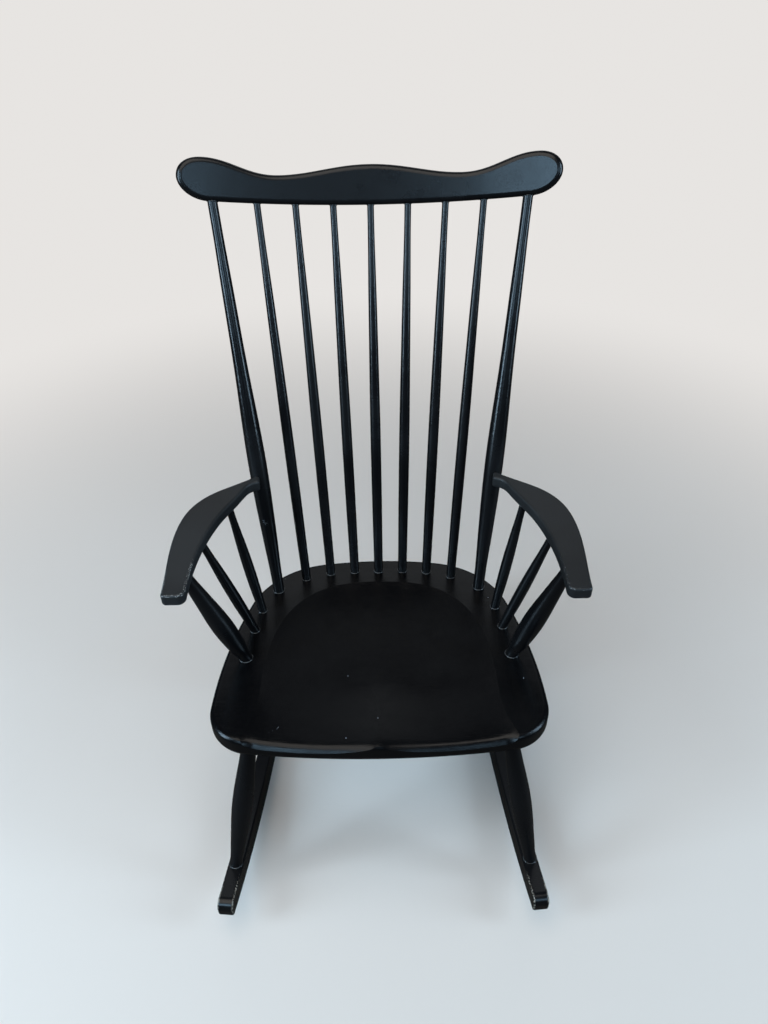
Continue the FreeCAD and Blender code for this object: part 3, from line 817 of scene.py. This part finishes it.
@dataclass
class Seat:
    """Saddle seat."""

    node: str = "seat"
    fibre: Fibre = Fibre((1.0, 0.0, 0.0), pore_length=34 * MM, pore_width=1.1 * MM)
    flecks: Flecks = Flecks(((-0.0522, -0.2743, 0.4084), (-0.0023, -0.2390, 0.4088),
                             (-0.0530, -0.1450, 0.3956), (0.2033, 0.0268, 0.4002),
                             (0.2396, -0.1667, 0.4103)))
    scratch: Scuff = Scuff((-0.161, -0.2525, 0.4076), (0.45, 0.89, 0.0), 30 * MM, 22 * MM, 0.2)

    def build(self) -> None:
        """Dress the seat."""
        dress(self.node, SEAT_SATIN.make(self.fibre, (self.flecks, self.scratch)))


@dataclass
class Back:
    """Two posts, seven spindles and the crest rail."""

    crest: str = "crest_rail"
    crest_fibre: Fibre = Fibre((1.0, 0.0, 0.0))
    scuff: Scuff = Scuff((-0.2013, 0.0875, 0.5403), (-0.45, -0.35, 0.8), 22 * MM, 9 * MM, 0.25)

    def build(self) -> None:
        """Dress the posts, the spindles and the crest."""
        for side in Side:
            dress_stick("back_post_" + side.word, (self.scuff,) if side is Side.LEFT else ())
        for index in range(1, SPINDLE_COUNT + 1):
            dress_stick("back_spindle_%d" % index)
        dress(self.crest, SATIN.make(self.crest_fibre))


@dataclass
class Arms:
    """Flat arms with the turned post, two spindles and the dowel of each."""

    top_normal: Triple = (0.0, 0.0332, 0.9994)
    inner_edge: Triple = (0.284, -0.150, 0.637)
    fibre: Fibre = Fibre((0.0, 1.0, 0.0))
    dowel_along: Triple = (0.6, -0.8, 0.0)
    chip_reach: float = 0.075
    chips_left: float = 0.5
    chips_right: float = 0.2

    def build(self) -> None:
        """Dress both arms and what carries them."""
        for side in Side:
            amount = self.chips_left if side is Side.LEFT else self.chips_right
            chips = EdgeWear(self.top_normal, side.mirror(self.inner_edge), self.chip_reach, amount)
            dress("arm_" + side.word, HANDLED.make(self.fibre, (chips,)))
            for name in ("arm_post_", "arm_spindle_front_", "arm_spindle_rear_"):
                dress_stick(name + side.word)
            dress("arm_dowel_" + side.word, BareWood().make(Fibre(side.mirror(self.dowel_along))))


@dataclass
class Base:
    """Four legs on two rockers."""

    nose: Triple = (0.269, -0.375, 0.092)
    toe_out: float = 5.0
    chip_reach: float = 0.06
    chips: float = 0.7

    def build(self) -> None:
        """Dress the legs and the rockers."""
        toe = math.radians(self.toe_out)
        for side in Side:
            for name in ("front_leg_", "rear_leg_"):
                dress_stick(name + side.word)
            across = (math.cos(toe), math.sin(toe) * side.value, 0.0)
            along = (-math.sin(toe) * side.value, math.cos(toe), 0.0)
            chips = EdgeWear(across, side.mirror(self.nose), self.chip_reach, self.chips)
            dress("rocker_" + side.word, CHIPPED.make(Fibre(along), (chips,)))


@dataclass(frozen=True)
class Lamp:
    """Soft rectangular light that faces the chair, its power in watts."""

    name: str
    place: Triple
    size: Band
    power: float
    colour: Triple
    aim: Triple = (0.0, 0.0, 0.6)

    def hang(self) -> None:
        """Add the light, unseen by the camera."""
        data = bpy.data.lights.new(self.name, "AREA")
        data.shape = "RECTANGLE"
        data.size, data.size_y = self.size
        data.energy = self.power
        data.color = self.colour
        lamp = bpy.data.objects.new(self.name, data)
        lamp.location = self.place
        sight = Vector(self.aim) - Vector(self.place)
        lamp.rotation_euler = sight.to_track_quat("-Z", "Y").to_euler()
        lamp.visible_camera = False
        bpy.context.scene.collection.objects.link(lamp)


@dataclass(frozen=True)
class Viewpoint:
    """Camera at the photograph's viewing angle, its turns in radians and its focal length in pixels."""

    place: Triple = (0.015, -0.964, 1.45)
    pitch: float = 0.70163
    yaw: float = -0.00216
    roll: float = 0.018684
    focal: float = 771.0
    picture_height: float = 1024.0
    sensor: float = 36.0

    def set_up(self) -> None:
        """Add the camera and use it."""
        level = math.cos(self.pitch)
        forward = Vector((math.sin(self.yaw) * level, math.cos(self.yaw) * level, -math.sin(self.pitch)))
        right = Vector((math.cos(self.yaw), -math.sin(self.yaw), 0))
        down = forward.cross(right)
        across = right * math.cos(self.roll) + down * math.sin(self.roll)
        below = down * math.cos(self.roll) - right * math.sin(self.roll)
        data = bpy.data.cameras.new("camera")
        data.sensor_width = self.sensor
        data.lens = self.focal / self.picture_height * self.sensor
        camera = bpy.data.objects.new("camera", data)
        turn = Matrix((across, -below, -forward)).transposed()
        camera.matrix_world = Matrix.Translation(self.place) @ turn.to_4x4()
        bpy.context.scene.collection.objects.link(camera)
        bpy.context.scene.camera = camera


@dataclass
class Studio:
    """Pale floor that fades into a plain backdrop, soft lights and the camera."""

    floor_colour: Triple = (0.85, 0.735, 0.65)
    floor_bounce: Triple = (0.06, 0.043, 0.03)
    floor_rough: float = 0.8
    floor_size: float = 60.0
    fade_band: Band = (0.7, 2.3)
    backdrop: Triple = (0.80, 0.78, 0.76)
    sky: Triple = (0.80, 0.88, 1.0)
    sky_strength: float = 0.06
    lamps: tuple[Lamp, ...] = (
        Lamp("window_left", (-2.4, -1.0, 1.5), (0.8, 2.0), 66.0, (0.56, 0.79, 1.0)),
        Lamp("window_right", (2.5, -0.7, 1.5), (0.7, 2.0), 46.0, (0.56, 0.79, 1.0)),
        Lamp("glazing_left", (-1.25, -2.6, 2.05), (1.2, 1.1), 27.0, (0.46, 0.74, 1.0)),
        Lamp("glazing_right", (1.25, -2.6, 2.05), (1.0, 1.1), 13.0, (0.46, 0.74, 1.0)),
        Lamp("ceiling", (-0.5, -0.7, 3.1), (2.2, 2.6), 32.0, (1.0, 0.94, 0.87)),
        Lamp("wall", (0.0, 2.5, 2.05), (4.0, 1.3), 9.0, (0.93, 0.97, 1.0)),
    )
    view: Viewpoint = Viewpoint()

    def build(self) -> None:
        """Build floor, world, lights and camera."""
        self.lay_floor()
        self.set_world()
        for lamp in self.lamps:
            lamp.hang()
        self.view.set_up()

    def lay_floor(self) -> None:
        """Plain floor under the rockers."""
        half = self.floor_size / 2
        corners = [(-half, -half, 0), (half, -half, 0), (half, half, 0), (-half, half, 0)]
        mesh = bpy.data.meshes.new("floor")
        mesh.from_pydata(corners, [], [(0, 1, 2, 3)])
        mesh.materials.append(self.floor_paint())
        floor = bpy.data.objects.new("floor", mesh)
        bpy.context.scene.collection.objects.link(floor)

    def floor_paint(self) -> bpy.types.Material:
        """Pale paint that passes into the backdrop far from the chair, and throws little light back.

        Returns:
            The material.
        """
        material, sketch, shader = new_material("floor_paint")
        point = sketch.add("ShaderNodeTexCoord", {}).outputs["Object"]
        seen = sketch.add("ShaderNodeLightPath", {}).outputs["Is Camera Ray"]
        colour = sketch.blend(seen, self.floor_bounce, self.floor_colour)
        sketch.feed(shader, {"Base Color": colour, "Roughness": self.floor_rough})
        far = sketch.slope(sketch.vector_sum("LENGTH", point), *self.fade_band)
        far = sketch.sum("MULTIPLY", far, seen)
        glow = sketch.add("ShaderNodeEmission", {"Color": (*self.backdrop, 1.0), "Strength": 1.0})
        mixed = sketch.add("ShaderNodeMixShader", {0: far, 1: shader.outputs[0], 2: glow.outputs[0]})
        sketch.feed(material.node_tree.nodes["Material Output"], {"Surface": mixed.outputs[0]})
        return material

    def set_world(self) -> None:
        """Soft, even light from all round, with a pale background."""
        world = bpy.data.worlds.new("studio")
        world.use_nodes = True
        bpy.context.scene.world = world
        sketch = Sketch(world.node_tree)
        dim = world.node_tree.nodes["Background"]
        sketch.feed(dim, {"Color": (*self.sky, 1.0), "Strength": self.sky_strength})
        seen = sketch.add("ShaderNodeLightPath", {}).outputs["Is Camera Ray"]
        pale = sketch.add("ShaderNodeBackground", {"Color": (*self.backdrop, 1.0), "Strength": 1.0})
        mixed = sketch.add("ShaderNodeMixShader", {0: seen, 1: dim.outputs[0], 2: pale.outputs[0]})
        sketch.feed(world.node_tree.nodes["World Output"], {"Surface": mixed.outputs[0]})


def main() -> None:
    """Build the chair's looks and the studio."""
    logging.basicConfig(level=logging.INFO, format="%(name)s: %(message)s")
    bpy.context.scene.view_settings.view_transform = "Standard"
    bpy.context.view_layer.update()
    for group in (Seat(), Back(), Arms(), Base(), Beads()):
        group.build()
        log.info("finished %s", type(group).__name__)
    Studio().build()


if __name__ == "__main__":
    main()
